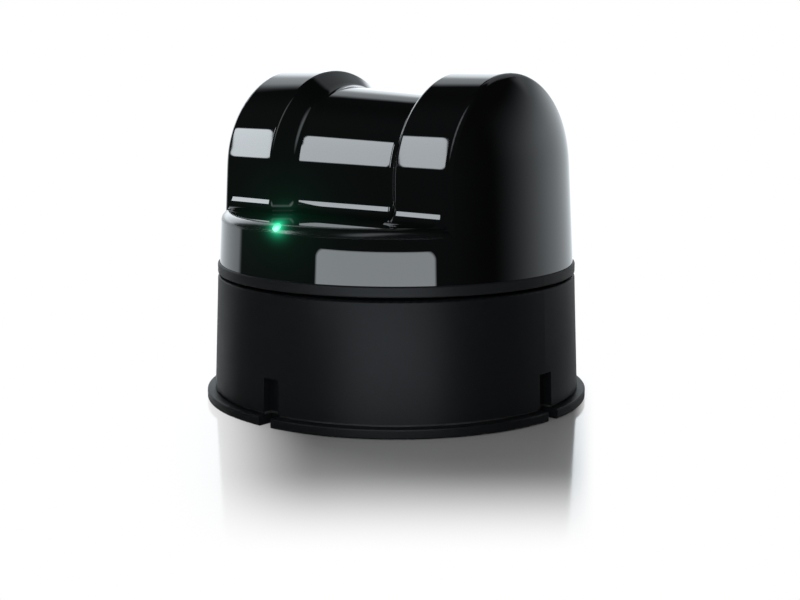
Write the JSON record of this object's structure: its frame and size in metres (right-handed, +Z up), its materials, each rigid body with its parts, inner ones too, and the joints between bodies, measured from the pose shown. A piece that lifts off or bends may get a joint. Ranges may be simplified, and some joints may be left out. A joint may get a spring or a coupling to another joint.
{
  "type": "compact scanning lidar sensor",
  "caption": "Compact scanning lidar: a glossy black arched head with a waisted drum between towers spins on a matte round base with a slanted spinning mirror inside.",
  "frame": {"origin": "centre of the base plate's underside, the face that sits on the machine", "axes": "+Z up along the head's spin axis; -Y towards the front, where the status light is; +Y towards the data socket; X along the mirror's axis, with its motor at +X"},
  "size_m": [0.075, 0.075, 0.0633],
  "materials": {
    "base_metal": "fine matte charcoal coating",
    "gasket_rubber": "matte",
    "turntable_black": "fine matte",
    "shell_gloss": "polished, dark to visible light",
    "screw_steel": "blackened",
    "bearing_steel": "ground",
    "motor_steel": "laminated",
    "spindle_metal": "turned",
    "frame_metal": "black anodised",
    "magnet_plating": "nickel plated",
    "winding_copper": "enamelled copper wire",
    "ferrite_ceramic": "sintered, matte",
    "board_laminate": "solder mask",
    "chip_black": "moulded",
    "capacitor_can": "drawn",
    "socket_plastic": "moulded",
    "contact_gold": "gold plated",
    "carrier_plastic": "moulded",
    "disc_metal": "etched",
    "link_lens": "infrared window",
    "led_body": "clear over the emitter",
    "light_green": "lit green light pipe",
    "lens_glass": "coated",
    "flex_amber": "polyimide",
    "mirror_face": "front-surface mirror",
    "detector_metal": "plated can"
  },
  "bodies": {
    "base": {"base_plate": "base_metal", "base_gasket": "gasket_rubber", "base_housing": "base_metal", "base_screws": "screw_steel", "main_board": "board_laminate", "main_board_screws": "screw_steel", "main_board_chips": "chip_black", "main_board_capacitors": "capacitor_can", "io_socket": "socket_plastic", "io_contacts": "contact_gold", "encoder_sensor": "chip_black", "link_emitter": "link_lens", "stator_core": "motor_steel", "stator_windings": "winding_copper", "coil_carrier": "carrier_plastic", "lower_ferrite": "ferrite_ceramic", "lower_power_coil": "winding_copper", "spindle_bearing_outer_rings": "bearing_steel", "bearing_spacer": "spindle_metal"},
    "head": {"spindle_bearing_inner_rings": "bearing_steel", "spindle": "spindle_metal", "spindle_clip": "screw_steel", "rotor_yoke": "motor_steel", "rotor_magnets": "magnet_plating", "encoder_disc": "disc_metal", "upper_ferrite": "ferrite_ceramic", "upper_power_coil": "winding_copper", "turntable": "turntable_black", "head_shell": "shell_gloss", "shell_screws": "screw_steel", "rotor_board": "board_laminate", "rotor_board_chips": "chip_black", "link_receiver": "link_lens", "status_led": "led_body", "status_light_pipe": "light_green", "optics_frame": "frame_metal", "frame_screws": "screw_steel", "optics_block": "frame_metal", "optics_screws": "screw_steel", "receive_lens": "lens_glass", "transmit_lens": "lens_glass", "ranging_board": "board_laminate", "laser_diode": "detector_metal", "photodetector": "detector_metal", "ranging_flex": "flex_amber", "mirror_motor_case": "spindle_metal", "mirror_motor_cap": "spindle_metal", "motor_screws": "screw_steel", "mirror_stator_core": "motor_steel", "mirror_stator_windings": "winding_copper", "mirror_bearing_outer_rings": "bearing_steel", "motor_flex": "flex_amber"},
    "mirror": {"mirror_bearing_inner_rings": "bearing_steel", "mirror_shaft": "bearing_steel", "mirror_holder": "frame_metal", "mirror_glass": "mirror_face", "mirror_magnet": "magnet_plating"}
  },
  "joints": [
    {"name": "head_spin", "type": "hinge", "parent": "base", "child": "head", "pos_m": [0, 0, 0.0267], "axis": [0, 0, 1], "continuous": true},
    {"name": "mirror_spin", "type": "hinge", "parent": "head", "child": "mirror", "pos_m": [0, 0, 0.044], "axis": [1, 0, 0], "continuous": true}
  ]
}
